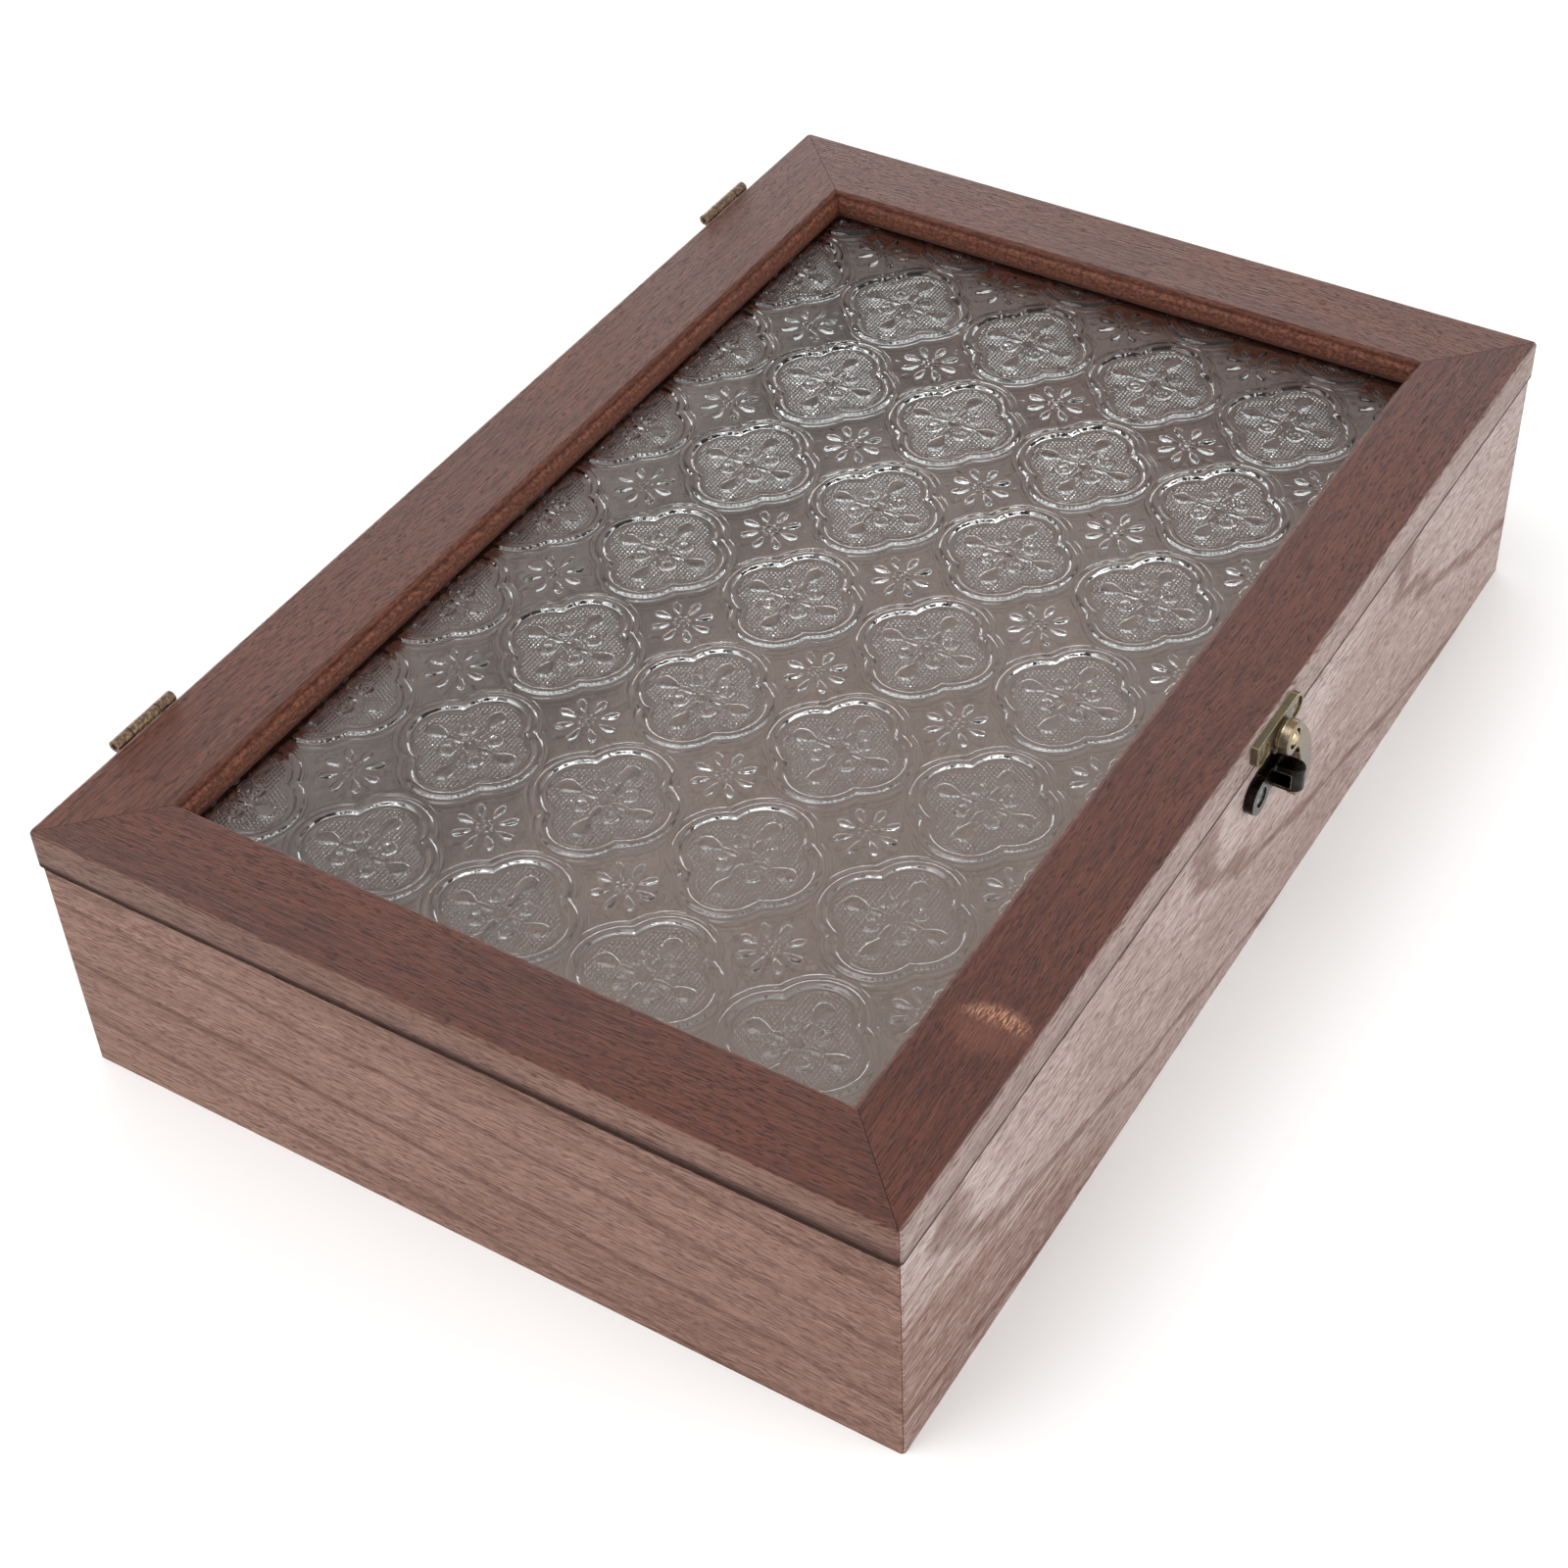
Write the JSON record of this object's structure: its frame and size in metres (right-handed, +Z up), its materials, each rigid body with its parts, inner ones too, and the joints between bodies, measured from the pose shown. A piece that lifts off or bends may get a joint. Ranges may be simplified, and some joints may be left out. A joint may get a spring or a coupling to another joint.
{
  "type": "tabletop display case",
  "caption": "Shallow hinged wooden display case: a mitred tray under a framed lid of pressed-pattern glass, with knuckle hinges behind and a swing-arm latch in front.",
  "frame": {"origin": "centre of the underside, on the surface that the case stands on", "axes": "+X along the long side, to the right seen from the latch; -Y to the front, where the latch is; +Y to the hinges; +Z up"},
  "size_m": [0.3, 0.2106, 0.069],
  "materials": {
    "lid_wood": "reddish-brown satin stain, fine open pores",
    "tray_wood": "thin matte brown stain over open grain, greyer than the lid",
    "floor_plywood": "stained plywood, matte",
    "strip_wood": "stained, matte",
    "patterned_glass": "clear pressed glass with a raised flower-lattice relief",
    "antique_bronze": "antiqued cast metal, dark in the hollows and worn bright along the rims",
    "dark_bronze": "the same casting, nearly black",
    "plated_screw": "small plated cross-head screws",
    "steel_brad": "plain steel brads"
  },
  "bodies": {
    "case": {"floor_brads": "steel_brad", "floor_panel": "floor_plywood", "hinge_left_pin": "antique_bronze", "hinge_left_tray_leaf": "antique_bronze", "hinge_left_tray_screws": "plated_screw", "hinge_right_pin": "antique_bronze", "hinge_right_tray_leaf": "antique_bronze", "hinge_right_tray_screws": "plated_screw", "keeper_screw_pair": "plated_screw", "latch_keeper": "dark_bronze", "wall_back": "tray_wood", "wall_front": "tray_wood", "wall_left": "tray_wood", "wall_right": "tray_wood"},
    "lid": {"glass_pane": "patterned_glass", "glass_strip_back": "strip_wood", "glass_strip_front": "strip_wood", "glass_strip_left": "strip_wood", "glass_strip_right": "strip_wood", "hinge_left_lid_leaf": "antique_bronze", "hinge_left_lid_screws": "plated_screw", "hinge_right_lid_leaf": "antique_bronze", "hinge_right_lid_screws": "plated_screw", "latch_plate": "antique_bronze", "latch_plate_screws": "plated_screw", "latch_rivet": "antique_bronze", "lid_rail_back": "lid_wood", "lid_rail_front": "lid_wood", "lid_rail_left": "lid_wood", "lid_rail_right": "lid_wood", "strip_brads": "steel_brad"},
    "latch_arm": {"latch_arm": "antique_bronze"}
  },
  "joints": [
    {"name": "lid_hinge", "type": "hinge", "parent": "case", "child": "lid", "pos_m": [0, 0.10165, 0.06765], "axis": [-1, 0, 0], "range_deg": [0, 110]},
    {"name": "latch_swing", "type": "hinge", "parent": "lid", "child": "latch_arm", "pos_m": [0.0032, -0.1037, 0.062], "axis": [0, -1, 0], "range_deg": [0, 120]}
  ]
}
